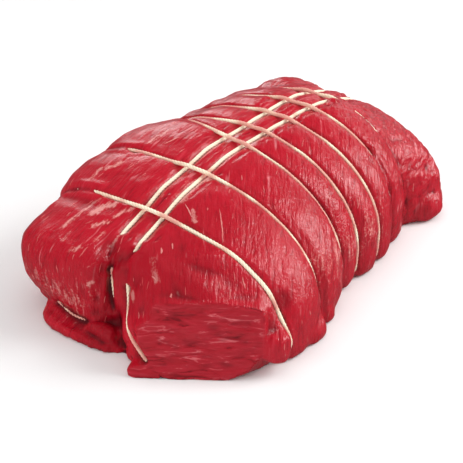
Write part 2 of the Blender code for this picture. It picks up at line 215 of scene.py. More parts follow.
def edges_of(mesh):
    flat = np.empty(len(mesh.edges) * 2, np.int32)
    mesh.edges.foreach_get("vertices", flat)
    return flat.reshape(-1, 2).astype(np.int64)


def set_attribute(mesh, name, values):
    mesh.attributes.new(name, "FLOAT", "POINT").data.foreach_set("value", np.asarray(values, np.float32))


def evened(places, edges, weights, passes, back=0.0):
    """The places drawn towards the middle of their neighbours, as far as each one's weight says.
    With back above zero, every pass is followed by one the other way, which keeps broad forms."""
    count = len(places)
    a, b = edges.T
    degree = np.bincount(a, minlength=count) + np.bincount(b, minlength=count)
    places = places.copy()
    for step in range(passes * (2 if back else 1)):
        middle = np.empty_like(places)
        for axis in range(3):
            along = places[:, axis]
            near = np.bincount(a, along[b], count) + np.bincount(b, along[a], count)
            middle[:, axis] = near / degree
        strength = -back if back and step % 2 else 0.5
        places += (middle - places) * (weights * strength)[:, None]
    return places


def rough(places, seed, octaves=2):
    """Soft random values of about -1 to 1, one for each place, with lumps about one unit across."""
    shift = Vector((seed * 17.3, seed * 5.1, seed * 9.7))
    return np.array([noise.fractal(Vector(place) + shift, 0.6, 2.0, octaves) for place in places])


def off_path(path, places, reach):
    """How far each place is from a path given in mm. Beyond the reach it is left at the reach."""
    corners = np.array(path) * MM
    away = np.full(len(places), reach)
    close = np.all((places > corners.min(0) - reach) & (places < corners.max(0) + reach), axis=1)
    picked = places[close]
    for start, end in zip(corners[:-1], corners[1:]):
        run = end - start
        share = np.clip((picked - start) @ run / (run @ run), 0, 1)
        away[close] = np.minimum(away[close], np.linalg.norm(picked - start - share[:, None] * run, axis=1))
    return away


def made_mesh(name, places, faces):
    mesh = bpy.data.meshes.new(name)
    mesh.from_pydata(places.tolist(), [], faces.tolist())
    made = bpy.data.objects.new(name, mesh)
    bpy.context.scene.collection.objects.link(made)
    mesh.shade_smooth()
    return made


# ---------------------------------------------------------------- string
def respaced(line, step):
    """A closed line with its points the same distance apart."""
    around = np.vstack([line, line[:1]])
    far = np.concatenate([[0], np.cumsum(np.linalg.norm(np.diff(around, axis=0), axis=1))])
    count = round(far[-1] / step)
    at = np.arange(count) * far[-1] / count
    return np.stack([np.interp(at, far, around[:, axis]) for axis in range(3)], 1)


def middle_line(node, axis, centre_share):
    """The middle of a closed string, in order round its own centre as seen along an axis, evenly spaced."""
    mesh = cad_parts[node].data
    places = places_of(mesh)
    low, high = places.min(0), places.max(0)
    centre = low + (high - low) * (centre_share, 0.5, 0.5)
    first, second = [k for k in range(3) if k != axis]
    turn = np.arctan2(places[:, second] - centre[second], places[:, first] - centre[first])
    count = 900
    slot = count / (2 * math.pi)
    total, hits = np.zeros((count, 3)), np.zeros(count)
    for a, b in edges_of(mesh):
        start, end = turn[a], turn[b]
        if end - start > math.pi:
            end -= 2 * math.pi
        if start - end > math.pi:
            start -= 2 * math.pi
        if start > end:
            start, end, a, b = end, start, b, a
        for number in range(math.ceil(start * slot), math.floor(end * slot) + 1):
            share = (number / slot - start) / max(end - start, 1e-9)
            total[number % count] += places[a] + (places[b] - places[a]) * share
            hits[number % count] += 1
    line = respaced(total[hits > 0] / hits[hits > 0][:, None], STRING_STEP)
    for _ in range(24):
        line = (np.roll(line, 1, 0) + 2 * line + np.roll(line, -1, 0)) / 4
    return respaced(line, STRING_STEP)


def ring_faces(count, sides):
    """The faces of a closed tube, ring by ring."""
    ring = np.arange(count)[:, None] * sides
    after = (np.arange(count)[:, None] + 1) % count * sides
    here = np.arange(sides)
    beside = (here + 1) % sides
    return np.stack([ring + here, after + here, after + beside, ring + beside], 2).reshape(-1, 4)


def tube(name, line, sides, radius):
    """A closed tube round a line. The radius may differ from place to place: it is given by ring and side."""
    forward = np.roll(line, -1, 0) - np.roll(line, 1, 0)
    forward /= np.linalg.norm(forward, axis=1)[:, None]
    out = line - line.mean(0)
    out -= forward * (out * forward).sum(1)[:, None]
    out /= np.linalg.norm(out, axis=1)[:, None]
    beside = np.cross(forward, out)
    angles = 2 * math.pi * np.arange(sides) / sides
    rim = out[:, None] * np.cos(angles)[None, :, None] + beside[:, None] * np.sin(angles)[None, :, None]
    places = line[:, None] + rim * np.broadcast_to(radius, (len(line), sides))[:, :, None]
    places[..., 2] = np.maximum(places[..., 2], 0)
    return made_mesh(name, places.reshape(-1, 3), ring_faces(len(line), sides))


def twisted_string(name, line, seed, stain):
    """A closed three-ply string along a middle line. Stain is how far the meat's juice has soaked it."""
    count = len(line)
    turns = round(count * STRING_STEP / TWIST_PITCH)
    angles = 2 * math.pi * np.arange(STRING_SIDES) / STRING_SIDES
    circle = 2 * math.pi * np.arange(count) / count
    loop = np.stack([np.cos(circle) * 9, np.sin(circle) * 9, np.full(count, seed * 7.7)], 1)
    slack = rough(loop, seed, 1)
    twist = 3 * angles[None, :] - 3 * turns * circle[:, None]
    plies = PLY_RELIEF * (2 * np.abs(np.cos(twist / 2)) ** 0.8 - 1)
    radius = np.minimum(STRING_RADIUS * (0.93 + 0.07 * slack[:, None]) + plies, STRING_RADIUS * 1.05)
    string = tube(name, line, STRING_SIDES, radius)
    mesh = string.data
    along = np.arange(count + 1) * STRING_STEP * 100
    around = np.arange(STRING_SIDES + 1) / STRING_SIDES
    corner = np.empty((count, STRING_SIDES, 4, 2))
    corner[:, :, 0, 0] = corner[:, :, 3, 0] = along[:-1, None]
    corner[:, :, 1, 0] = corner[:, :, 2, 0] = along[1:, None]
    corner[:, :, :2, 1] = around[None, :-1, None]
    corner[:, :, 2:, 1] = around[None, 1:, None]
    mesh.uv_layers.new(name="along").data.foreach_set("uv", corner.astype(np.float32).ravel())
    stain = stain + 0.7 * smooth_step(-99 * MM, -104 * MM, line[:, 1])
    wet = smooth_step(-0.4, 0.5, rough(line / (14 * MM), seed + 20, 2) + stain - 0.5)
    set_attribute(mesh, "soaked", np.repeat(wet, STRING_SIDES))
    # painted shade in the grooves between the plies, darkest at their bottoms
    ply_groove_shades = np.clip(-plies / PLY_RELIEF, 0, 1)
    set_attribute(mesh, "groove", ply_groove_shades.ravel())
    return string


# ---------------------------------------------------------------- meat
def skin_from(node, lines):
    """A fine even skin over the CAD solid, with the tunnels that its strings run through filled in."""
    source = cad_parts[node]
    made = bpy.data.objects.new("beef_flesh", source.data.copy())
    bpy.context.scene.collection.objects.link(made)
    made.data.materials.clear()
    cores = [tube("core", line[::4], 10, CORE_RADIUS) for line in lines]
    select_only(made)
    bpy.ops.object.mode_set(mode="EDIT")
    bpy.ops.mesh.select_all(action="SELECT")
    bpy.ops.mesh.remove_doubles(threshold=0.00001)
    bpy.ops.object.mode_set(mode="OBJECT")
    for core in cores:
        core.select_set(True)
    bpy.ops.object.join()
    apply_modifier(made, "REMESH", mode="VOXEL", voxel_size=SKIN_CELL)
    return made


def nearest_on(lines, places, reach):
    """For each place within reach of a string: how far it is, the nearest point, and that point's number."""
    points = np.vstack(lines)
    tree = KDTree(len(points))
    for number, point in enumerate(points):
        tree.insert(point, number)
    tree.balance()
    away, which = np.full(len(places), reach), np.zeros(len(places), np.int64)
    for number, place in enumerate(places):
        _, found, distance = tree.find(place)
        if distance < reach:
            away[number], which[number] = distance, found
    return away, points[which], which


def cover_of(lines):
    """For each point of each string, how far the meat closes over it, from 0 to 1."""
    shares = []
    for name, line in lines.items():
        share = np.zeros(len(line))
        for string, place, radius, most in COVERED:
            if string == name:
                away = np.linalg.norm(line - np.array(place) * MM, axis=1) / MM
                share = np.maximum(share, most * (1 - smooth_step(radius - 5, radius, away)))
        shares.append(share)
    return np.concatenate(shares)


def girth_bowl(side):
    """The highest that the skin may stand beside a girth string: it closes in to the string's sides."""
    return np.minimum(-1.38 * MM + (side / (1.4 * MM)) ** 2 * 1.38 * MM, 0.3 * MM + side * 0.9)


def inner_bowl(side):
    """The same beside the strings that run lengthwise, which lie in shallow valleys."""
    return np.minimum(-1.38 * MM + (side / (1.6 * MM)) ** 2 * 1.0 * MM, -0.35 * MM + side * 0.24)


def pressed_by(lines, bowl, places, normals):
    """The skin pressed in by strings. It passes under a string where that shows, and closes over it where
    it doesn't. Returns the places and how far the meat is closed there."""
    away, nearest, which = nearest_on(list(lines.values()), places, 10 * MM)
    cover = np.where(away < 10 * MM, cover_of(lines)[which], 0)
    height = ((places - nearest) * normals).sum(1)
    side = np.sqrt(np.maximum(away**2 - height**2, 0))
    near = (away < 9 * MM) & (np.abs(height) < 6 * MM)
    closed = STRING_RADIUS + 0.35 * MM + 0.5 * MM * smooth_step(0.5 * MM, 4 * MM, side)
    inwards = np.where(near, np.maximum(height - bowl(side), 0), 0) * (1 - cover)
    outwards = np.maximum(closed - height, 0) * cover * (1 - smooth_step(3.5 * MM, 7 * MM, side)) * near
    return places + normals * (outwards - inwards)[:, None], cover * near


def creased(places, normals):
    """Creases and ridges along their paths. A crease is a narrow valley with its lips raised a little."""
    push = np.zeros(len(places))
    for path, depth, width in CREASES:
        away = off_path(path, places, 4 * width * MM) / (width * MM)
        push -= depth * MM * np.exp(-(away**2) * 1.6)
        push += 0.35 * depth * MM * np.exp(-((away - 1.9) ** 2) * 2.2)
    for path, height, width in RIDGES:
        away = off_path(path, places, 3 * width * MM) / (width * MM)
        push += height * MM * np.exp(-(away**2) * 1.2)
    return places + normals * push[:, None]


def sliced(places):
    """The front cut flat with a knife. Its rim is drawn forward first, so that the cut leaves a crisp edge.
    Returns the places and how far each one is on the cut, from 0 to 1."""
    normal = np.array(FACE_NORMAL) / np.linalg.norm(FACE_NORMAL)
    across = np.array((-normal[1], normal[0], 0.0))
    across /= np.linalg.norm(across)
    off = places - np.array(FACE_POINT) * MM
    ahead, along = off @ normal, (off @ across) / MM
    within = smooth_step(FACE_ENDS[0] - 6, FACE_ENDS[0], along) * (1 - smooth_step(FACE_ENDS[1], FACE_ENDS[1] + 6, along))
    within *= 1 - smooth_step(FACE_TOP, FACE_TOP + 5, places[:, 2] / MM)
    drawn = within * smooth_step(-9 * MM, -3 * MM, ahead) * 4.2 * MM
    layers = np.stack([along / 15, places[:, 2] / (5.5 * MM), along / 40], 1)
    relief = np.zeros(len(along))
    front = within > 0
    relief[front] = 0.7 * MM * rough(layers[front], 12, 3)
    kept = np.where(within > 0.3, np.minimum(ahead + drawn, relief), ahead + drawn)
    cut = within * smooth_step(-0.5 * MM, -0.1 * MM, kept - relief)
    return places + normal * (kept - ahead)[:, None], cut


def kept_inside(places, zone=2.0 * MM):
    """The places held inside the CAD box, eased over the last two millimetres so that no flat spot shows."""
    low, high = np.array(cad_box[0]), np.array(cad_box[1])
    middle, half = (low + high) / 2, (high - low) / 2 - 0.05 * MM
    off = places - middle
    over = np.maximum(np.abs(off) - (half - zone), 0)
    eased = np.sign(off) * (np.minimum(np.abs(off), half - zone) + zone * (1 - np.exp(-over / zone)))
    eased[:, 2] = np.where(off[:, 2] > 0, eased[:, 2], off[:, 2])
    return middle + eased


def main_flesh(lines):
    flesh = skin_from("beef_joint", list(lines.values()))
    mesh = flesh.data
    places, edges = places_of(mesh), edges_of(mesh)
    on_foot = places[:, 2] < FOOT_HEIGHT
    free = np.where(on_foot, 0.0, 1.0)
    girths = {name: line for name, line in lines.items() if name.startswith("girth")}
    inner = {name: line for name, line in lines.items() if name not in girths}
    away, _, _ = nearest_on(list(lines.values()), places, 9 * MM)
    near = (1 - smooth_step(0.8 * BITE_REACH, BITE_REACH, away)) * free
    places = evened(places, edges, near, 70)
    places = evened(places, edges, free, 26, back=0.52)
    set_places(mesh, places)
    normals = normals_of(mesh)

    # soft lumps of muscle, coarser at the far end, and long ripples along the fibres
    right = smooth_step(-8 * MM, 8 * MM, places[:, 0])
    flank = 1 - smooth_step(0.72, 0.95, normals[:, 2])
    far_end = smooth_step(80 * MM, 100 * MM, places[:, 1])
    left_front = smooth_step(-105 * MM, -115 * MM, places[:, 1]) * smooth_step(-10 * MM, -22 * MM, places[:, 0])
    from_inner, _, _ = nearest_on(list(inner.values()), places, 16 * MM)
    from_girth, _, _ = nearest_on(list(girths.values()), places, 12 * MM)
    across = right * (0.799 * places[:, 0] + 0.602 * places[:, 1]) + (1 - right) * places[:, 0]
    along = right * (-0.602 * places[:, 0] + 0.799 * places[:, 1]) + (1 - right) * places[:, 1]
    grain = np.stack([across / (3.4 * MM), along / (22 * MM), places[:, 2] / (22 * MM)], 1)
    lumps = rough(places / (30 * MM), 1)
    small = rough(places / (9 * MM), 2)
    lean = np.array((0.34, 0.73, 0.6))
    drawn = places - lean * (places @ lean)[:, None] * 0.7
    folds = np.minimum(np.abs(rough(drawn / (7 * MM), 5)) * 4.5, 1) - 0.7
    toward_end = right * smooth_step(40 * MM, 70 * MM, places[:, 1]) * (1 - far_end)
    low = smooth_step(20 * MM, 10 * MM, places[:, 2]) * (1 - right)
    ripple = rough(grain, 3)
    arch = 1 - (1 - np.clip(from_girth / SWELL_REACH, 0, 1)) ** 2
    swell = SWELL + flank * FLANK_SWELL * arch
    push = swell * smooth_step(3 * MM, 14 * MM, from_inner)
    push += 0.7 * MM * lumps + (0.26 + 0.3 * far_end) * MM * small
    push += (0.14 + 0.4 * left_front) * MM * ripple + (0.85 * far_end + 0.42 * toward_end + 0.5 * low) * MM * folds
    places = places + normals * (push * free)[:, None]
    set_places(mesh, places)

    before = places
    places, over_inner = pressed_by(inner, inner_bowl, places, normals_of(mesh))
    set_places(mesh, places)
    places, over_girth = pressed_by(girths, girth_bowl, places, normals_of(mesh))
    places = np.where(on_foot[:, None], before, places)
    places = evened(places, edges, free * smooth_step(0.1, 0.9, over_inner + over_girth), 5)
    for place, radius in PINCHED:
        away = np.linalg.norm(places - np.array(place) * MM, axis=1)
        places = evened(places, edges, free * (1 - smooth_step(0.4 * radius * MM, radius * MM, away)), 40)
    set_places(mesh, places)
    places = np.where(on_foot[:, None], places, creased(places, normals_of(mesh)))
    places = evened(places, edges, free, 1)
    places, cut = sliced(places)
    places = kept_inside(places)
    places[:, 2] = np.where(on_foot, 0.0, np.maximum(places[:, 2], 0.0))
    set_places(mesh, places)

    # painted shade: valleys are painted darker, by how far the skin lies under its own smoothed self
    close = evened(places, edges, np.ones(len(places)), 12)
    wide = evened(close, edges, np.ones(len(places)), 50)
    normals = normals_of(mesh)
    valley = ((close - places) * normals).sum(1) / (1.0 * MM) + ((wide - close) * normals).sum(1) / (2.4 * MM)
    set_attribute(mesh, "valley", np.clip(valley, 0, 1))
    set_attribute(mesh, "cut", cut)
    fat = np.zeros(len(places))
    for path, width, pale in PATCHES:
        fat = np.maximum(fat, pale * (1 - off_path(path, places, width * MM) / (width * MM)))
    set_attribute(mesh, "fat", fat)
    # painted shade and deeper red, from the table of darker places
    shade = np.zeros(len(places))
    for place, radius, amount in DARKER_RED_AND_PAINTED_SHADE:
        away = np.linalg.norm(places / MM - place, axis=1)
        shade = np.maximum(shade, amount * (1 - smooth_step(0.3 * radius, radius, away)))
    set_attribute(mesh, "deep", shade)
    mesh.shade_smooth()
    return flesh


def small_flecks(flesh, lines):
    """Short thin flecks of fat all over the meat, along its fibres and clear of the strings."""
    draw = np.random.default_rng(11)
    places, normals = places_of(flesh.data), normals_of(flesh.data)
    picked = draw.choice(len(places), FLECKS * 3, replace=False)
    away, _, _ = nearest_on(list(lines.values()), places[picked], 4 * MM)
    cut = np.empty(len(places), np.float32)
    flesh.data.attributes["cut"].data.foreach_get("value", cut)
    flecks = []
    for number, gap in zip(picked, away):
        place, up = places[number], normals[number]
        length, width, pale = draw.uniform(2.0, 6.5), draw.uniform(0.5, 1.1), draw.uniform(0.1, 0.42)
        if gap < 3.9 * MM or place[2] < 4 * MM or cut[number] > 0.1 or len(flecks) == FLECKS:
            continue
        run = np.cross(up, (0.799, 0.602, 0) if place[0] > 0 else (1, 0, 0))
        run = run / max(np.linalg.norm(run), 0.1) + draw.normal(0, 0.18, 3)
        ends = [place / MM + run * length * share for share in (-0.5, 0, 0.5)]
        flecks.append((ends, width, pale))
    return flecks


def fat_streaks(flesh, lines):
    """Thin ribbons of fat that lie in the skin, closed underneath, thinner towards their ends."""
    tree = BVHTree.FromPolygons(places_of(flesh.data).tolist(), [face.vertices[:] for face in flesh.data.polygons])
    across = (-1.0, -0.5, 0.0, 0.5, 1.0, 0.6, 0.0, -0.6)
    above = (-0.12, 0.1, 0.15, 0.1, -0.12, -0.6, -0.6, -0.6)
    centred = (0.0, 0.7, 1.0, 0.7, 0.0, 0.0, 0.0, 0.0)
    places, faces, rims, pales = [], [], [], []
    for number, (path, width, pale) in enumerate((*FAT, *small_flecks(flesh, lines))):
        corners = np.array(path, float) * MM
        far = np.concatenate([[0], np.cumsum(np.linalg.norm(np.diff(corners, axis=0), axis=1))])
        count = max(6, round(far[-1] / (0.8 * MM)))
        at = np.linspace(0, far[-1], count)
        line = np.stack([np.interp(at, far, corners[:, axis]) for axis in range(3)], 1)
        first = len(places)
        for step in range(count):
            ahead = Vector(line[min(step + 1, count - 1)] - line[max(step - 1, 0)]).normalized()
            spot, up, _, _ = tree.find_nearest(Vector(line[step]))
            beside = up.cross(ahead).normalized()
            ragged = noise.noise(Vector((step * 0.45, number * 3.1, 0)))
            sway = noise.noise(Vector((step * 0.3, number * 3.1, 7)))
            share = step / (count - 1)
            half = 0.62 * width * MM * (0.08 + math.sin(math.pi * share) ** 0.6 * (0.85 + 0.5 * ragged))
            middle = spot + beside * sway * width * 0.35 * MM
            for side, lift, rim in zip(across, above, centred):
                found, normal, _, _ = tree.find_nearest(middle + beside * side * half)
                places.append(found + normal * lift * MM)
                rims.append(rim)
                pales.append(pale)
        ring = len(across)
        for step in range(count - 1):
            start = first + step * ring
            for k in range(ring):
                after = (k + 1) % ring
                faces.append((start + k, start + after, start + ring + after, start + ring + k))
        faces.append(tuple(first + k for k in reversed(range(ring))))
        faces.append(tuple(first + (count - 1) * ring + k for k in range(ring)))
    mesh = bpy.data.meshes.new("fat_streaks")
    mesh.from_pydata([tuple(place) for place in places], [], faces)
    set_attribute(mesh, "rim", rims)
    set_attribute(mesh, "pale", pales)
    made = bpy.data.objects.new("fat_streaks", mesh)
    bpy.context.scene.collection.objects.link(made)
    select_only(made)
    bpy.ops.object.mode_set(mode="EDIT")
    bpy.ops.mesh.select_all(action="SELECT")
    bpy.ops.mesh.normals_make_consistent(inside=False)
    bpy.ops.object.mode_set(mode="OBJECT")
    mesh.shade_smooth()
    return made


# ---------------------------------------------------------------- finishes
def colour(code):
    """A hex sRGB colour as linear red, green, blue and alpha."""
    parts = [int(code[k : k + 2], 16) / 255 for k in (1, 3, 5)]
    return (*(c / 12.92 if c <= 0.04045 else ((c + 0.055) / 1.055) ** 2.4 for c in parts), 1.0)


def add_node(tree, kind, settings=None, stops=(), **inputs):
    """Adds a node, sets its properties and the stops of its ramp, and gives each input a value or a link.
    An input goes by its name, or by i and its number."""
    made = tree.nodes.new(kind)
    for name, value in (settings or {}).items():
        setattr(made, name, value)
    for number, (place, shade) in enumerate(stops):
        if number >= len(made.color_ramp.elements):
            made.color_ramp.elements.new(place)
        made.color_ramp.elements[number].position = place
        made.color_ramp.elements[number].color = shade
    for name, value in inputs.items():
        socket = made.inputs[int(name[1:])] if name[1:].isdigit() else made.inputs[name.replace("_", " ")]
        if isinstance(value, bpy.types.NodeSocket):
            tree.links.new(value, socket)
        else:
            socket.default_value = value
    return made


def new_finish(name):
    finish = bpy.data.materials.new(name)
    finish.use_nodes = True
    return finish, finish.node_tree, finish.node_tree.nodes["Principled BSDF"]


MIX = "ShaderNodeMix"
MATHS = "ShaderNodeMath"
NOISE = "ShaderNodeTexNoise"
RAMP = "ShaderNodeValToRGB"
RANGE = "ShaderNodeMapRange"
BLEND = {"data_type": "RGBA"}
WHITE, BLACK = (1, 1, 1, 1), (0, 0, 0, 1)


def lean_beef():
    """Raw lean beef, freshly trimmed: deep red fibres under a thin moist skin that shines like satin. The
    knife-cut front has no skin, so it is duller, browner and layered."""
    finish, tree, shader = new_finish("raw_lean_beef")
    where = add_node(tree, "ShaderNodeTexCoord").outputs["Object"]
    split = add_node(tree, "ShaderNodeSeparateXYZ", i0=where)
    right = add_node(tree, RANGE, {"interpolation_type": "SMOOTHSTEP"}, i0=split.outputs[0], i1=-0.012, i2=0.012).outputs[0]
    valley = add_node(tree, "ShaderNodeAttribute", {"attribute_name": "valley"}).outputs["Fac"]
    cut = add_node(tree, "ShaderNodeAttribute", {"attribute_name": "cut"}).outputs["Fac"]

    # noise drawn out along the fibres: lengthwise on the left of the crest, slanting down on the right
    grain = {}
    for name, width, length, detail, shift in (("coarse", 4.2, 24, 3, 1.3), ("fine", 1.9, 12, 3, 4.1), ("fat", 2.6, 22, 1, 9.7)):
        sides = []
        for turn in (0.0, math.radians(-37)):
            turned = add_node(tree, "ShaderNodeMapping", i0=where, i1=(shift, shift * 2, 0), i2=(0, 0, turn)).outputs[0]
            drawn = add_node(tree, "ShaderNodeVectorMath", {"operation": "MULTIPLY"}, i0=turned, i1=(1000 / width, 1000 / length, 1000 / length)).outputs[0]
            sides.append(add_node(tree, NOISE, Vector=drawn, Scale=1.0, Detail=detail, Roughness=0.55).outputs[0])
        grain[name] = add_node(tree, MIX, {"data_type": "FLOAT"}, i0=right, i2=sides[0], i3=sides[1]).outputs[0]

    broad = add_node(tree, NOISE, Vector=where, Scale=26.0, Detail=3.0, Roughness=0.5).outputs[0]
    wrinkle = add_node(tree, NOISE, Vector=where, Scale=380.0, Detail=3.0, Roughness=0.6, Distortion=0.8).outputs[0]
    patch = add_node(tree, NOISE, Vector=where, Scale=60.0, Detail=1.0).outputs[0]

    base = add_node(tree, RAMP, i0=broad, stops=((0.32, colour("#A8061C")), (0.5, colour("#B60A22")), (0.68, colour("#BE142A")))).outputs[0]
    streaks = add_node(tree, RAMP, i0=grain["coarse"], stops=((0.3, colour("#A0061A")), (0.5, colour("#B60A22")), (0.72, colour("#C42034")))).outputs[0]
    base = add_node(tree, MIX, BLEND, i0=0.4, i6=base, i7=streaks).outputs[2]
    threads = add_node(tree, RAMP, i0=grain["fine"], stops=((0.34, colour("#860414")), (0.44, colour("#B60A22")), (0.6, colour("#B60A22")), (0.7, colour("#CC3444")))).outputs[0]
    base = add_node(tree, MIX, BLEND, i0=0.42, i6=base, i7=threads).outputs[2]
    # marbling: short thin pale lines of fat between the fibres, in some places only
    lines = add_node(tree, RAMP, i0=grain["fat"], stops=((0.66, BLACK), (0.72, WHITE))).outputs[0]
    some = add_node(tree, RAMP, i0=patch, stops=((0.5, BLACK), (0.62, WHITE))).outputs[0]
    marble = add_node(tree, MATHS, {"operation": "MULTIPLY"}, i0=lines, i1=some).outputs[0]
    marble = add_node(tree, MATHS, {"operation": "MULTIPLY"}, i0=marble, i1=0.6).outputs[0]
    base = add_node(tree, MIX, BLEND, i0=marble, i6=base, i7=colour("#DE7F84")).outputs[2]

    # patches of fat under the skin, ragged along the fibres
    fat = add_node(tree, "ShaderNodeAttribute", {"attribute_name": "fat"}).outputs["Fac"]
    crumb = add_node(tree, NOISE, Vector=where, Scale=650.0, Detail=2.0, Roughness=0.6).outputs[0]
    edge = add_node(tree, MATHS, {"operation": "MULTIPLY_ADD"}, i0=grain["fine"], i1=1.1, i2=fat).outputs[0]
    edge = add_node(tree, MATHS, {"operation": "MULTIPLY_ADD"}, i0=crumb, i1=0.8, i2=edge).outputs[0]
    share = add_node(tree, RANGE, {"interpolation_type": "SMOOTHSTEP"}, i0=edge, i1=1.24, i2=1.66, i3=0.0, i4=0.66).outputs[0]
    base = add_node(tree, MIX, BLEND, i0=share, i6=base, i7=colour("#EDAAA2")).outputs[2]
    # painted darker red: a deeper red in places, and painted shade in the cleft, the creases and the hollow behind the
    # first string
    deep = add_node(tree, "ShaderNodeAttribute", {"attribute_name": "deep"}).outputs["Fac"]
    base = add_node(tree, MIX, BLEND, i0=deep, i6=base, i7=colour("#920316")).outputs[2]

    # the cut: layers of muscle edge on, with dark slits and pale lines
    level = add_node(tree, "ShaderNodeVectorMath", {"operation": "MULTIPLY"}, i0=where, i1=(60, 60, 330)).outputs[0]
    layer = add_node(tree, NOISE, Vector=level, Scale=1.0, Detail=3.0, Roughness=0.6, Distortion=1.1).outputs[0]
    face = add_node(tree, RAMP, i0=layer, stops=((0.3, colour("#7A0816")), (0.4, colour("#A61222")), (0.6, colour("#B42030")), (0.72, colour("#D4666C")))).outputs[0]
    base = add_node(tree, MIX, BLEND, i0=cut, i6=base, i7=face).outputs[2]
    # painted shade: the valleys and creases are darkened almost to black-red
    base = add_node(tree, MIX, BLEND, i0=valley, i6=base, i7=colour("#4E050E")).outputs[2]
    tree.links.new(base, shader.inputs["Base Color"])

    gloss = add_node(tree, RANGE, i0=broad, i1=0.3, i2=0.7, i3=0.3, i4=0.42).outputs[0]
    gloss = add_node(tree, MIX, {"data_type": "FLOAT"}, i0=cut, i2=gloss, i3=0.55).outputs[0]
    tree.links.new(gloss, shader.inputs["Roughness"])
    wet = add_node(tree, RANGE, i0=cut, i3=0.4, i4=0.06).outputs[0]
    tree.links.new(wet, shader.inputs["Coat Weight"])

    threads = add_node(tree, MATHS, {"operation": "MULTIPLY"}, i0=grain["fine"], i1=1.7).outputs[0]
    height = add_node(tree, MATHS, {"operation": "ADD"}, i0=grain["coarse"], i1=threads).outputs[0]
    height = add_node(tree, MATHS, {"operation": "MULTIPLY_ADD"}, i0=wrinkle, i1=0.5, i2=height).outputs[0]
    left = add_node(tree, MATHS, {"operation": "SUBTRACT"}, i0=1.0, i1=right).outputs[0]
    # the flanks are the roughest, and the top is pulled smooth
    coarse = add_node(tree, RANGE, {"interpolation_type": "SMOOTHSTEP"}, i0=split.outputs[0], i1=0.01, i2=0.05, i3=0.5, i4=1.25).outputs[0]
    front = add_node(tree, RANGE, {"interpolation_type": "SMOOTHSTEP"}, i0=split.outputs[1], i1=-0.1, i2=-0.118, i3=0.0, i4=0.8).outputs[0]
    front = add_node(tree, MATHS, {"operation": "MULTIPLY"}, i0=front, i1=left).outputs[0]
    coarse = add_node(tree, MATHS, {"operation": "ADD"}, i0=coarse, i1=front).outputs[0]
    height = add_node(tree, MATHS, {"operation": "MULTIPLY"}, i0=height, i1=coarse).outputs[0]
    # small slanting folds on the far end, about 4 mm apart
    lean = (0.34, 0.73, 0.6)
    far = add_node(tree, RANGE, {"interpolation_type": "SMOOTHSTEP"}, i0=split.outputs[1], i1=0.05, i2=0.09).outputs[0]
    far = add_node(tree, MATHS, {"operation": "MULTIPLY"}, i0=far, i1=right).outputs[0]
    reach = add_node(tree, "ShaderNodeVectorMath", {"operation": "DOT_PRODUCT"}, i0=where, i1=lean).outputs[1]
    reach = add_node(tree, MATHS, {"operation": "MULTIPLY"}, i0=reach, i1=0.75).outputs[0]
    pull = add_node(tree, "ShaderNodeVectorMath", {"operation": "SCALE"}, i0=lean, i3=reach).outputs[0]
    drawn = add_node(tree, "ShaderNodeVectorMath", {"operation": "SUBTRACT"}, i0=where, i1=pull).outputs[0]
    fold = add_node(tree, NOISE, Vector=drawn, Scale=210.0, Detail=1.0, Roughness=0.5).outputs[0]
    fold = add_node(tree, MATHS, {"operation": "SUBTRACT"}, i0=fold, i1=0.5).outputs[0]
    fold = add_node(tree, MATHS, {"operation": "ABSOLUTE"}, i0=fold).outputs[0]
    fold = add_node(tree, MATHS, {"operation": "MULTIPLY"}, i0=fold, i1=far).outputs[0]
    height = add_node(tree, MATHS, {"operation": "MULTIPLY_ADD"}, i0=fold, i1=3.2, i2=height).outputs[0]
    height = add_node(tree, MIX, {"data_type": "FLOAT"}, i0=cut, i2=height, i3=layer).outputs[0]
    bump = add_node(tree, "ShaderNodeBump", Height=height, Strength=1.0, Distance=0.0006)
    tree.links.new(bump.outputs[0], shader.inputs["Normal"])
    ripples = add_node(tree, MATHS, {"operation": "MULTIPLY_ADD"}, i0=threads, i1=0.6, i2=wrinkle).outputs[0]
    ripples = add_node(tree, MATHS, {"operation": "MULTIPLY"}, i0=ripples, i1=coarse).outputs[0]
    ripples = add_node(tree, MATHS, {"operation": "MULTIPLY_ADD"}, i0=fold, i1=1.4, i2=ripples).outputs[0]
    film = add_node(tree, "ShaderNodeBump", Height=ripples, Strength=1.0, Distance=0.0006)
    tree.links.new(film.outputs[0], shader.inputs["Coat Normal"])
    shader.inputs["IOR"].default_value = 1.4
    shader.inputs["Coat Roughness"].default_value = 0.2
    shader.inputs["Subsurface Weight"].default_value = 0.12
    shader.inputs["Subsurface Radius"].default_value = (1.0, 0.25, 0.15)
    shader.inputs["Subsurface Scale"].default_value = 0.003
    return finish


def soft_fat():
    """A thin streak of raw fat in the lean: waxy, pale pink in its middle and lost in the red at its rim."""
    finish, tree, shader = new_finish("raw_fat")
    where = add_node(tree, "ShaderNodeTexCoord").outputs["Object"]
    rim = add_node(tree, "ShaderNodeAttribute", {"attribute_name": "rim"}).outputs["Fac"]
    pale = add_node(tree, "ShaderNodeAttribute", {"attribute_name": "pale"}).outputs["Fac"]
    ragged = add_node(tree, NOISE, Vector=where, Scale=700.0, Detail=3.0, Roughness=0.7).outputs[0]
    share = add_node(tree, MATHS, {"operation": "ADD"}, i0=rim, i1=ragged).outputs[0]
    share = add_node(tree, RANGE, {"interpolation_type": "SMOOTHSTEP"}, i0=share, i1=0.55, i2=1.5).outputs[0]
    share = add_node(tree, MATHS, {"operation": "MULTIPLY"}, i0=share, i1=pale).outputs[0]
    base = add_node(tree, MIX, BLEND, i0=share, i6=colour("#B60A22"), i7=colour("#F0B4AA")).outputs[2]
    tree.links.new(base, shader.inputs["Base Color"])
    bump = add_node(tree, "ShaderNodeBump", Height=ragged, Strength=1.0, Distance=0.0004)
    tree.links.new(bump.outputs[0], shader.inputs["Normal"])
    shader.inputs["Roughness"].default_value = 0.4
    shader.inputs["IOR"].default_value = 1.45
    shader.inputs["Specular IOR Level"].default_value = 0.4
    return finish


